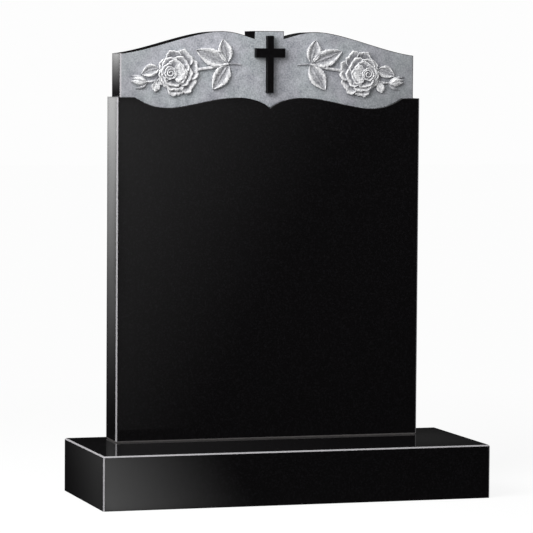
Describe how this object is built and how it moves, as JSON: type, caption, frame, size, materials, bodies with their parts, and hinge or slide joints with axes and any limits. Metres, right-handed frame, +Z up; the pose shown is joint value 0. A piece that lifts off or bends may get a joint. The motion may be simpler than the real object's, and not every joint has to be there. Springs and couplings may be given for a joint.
{
  "type": "headstone",
  "caption": "Upright polished black granite headstone with a curved top, a recessed carved band of roses and a raised cross, standing on a low rectangular base.",
  "frame": {"origin": "middle of the base's underside, on the ground", "axes": "+Z up, the front with the carved band faces -Y, +X to the right as seen from the front"},
  "size_m": [0.762, 0.305, 0.889],
  "materials": {
    "base_granite": "polished",
    "tablet_granite": "polished"
  },
  "bodies": {
    "root": {"base": "base_granite", "tablet": "tablet_granite"}
  },
  "joints": []
}
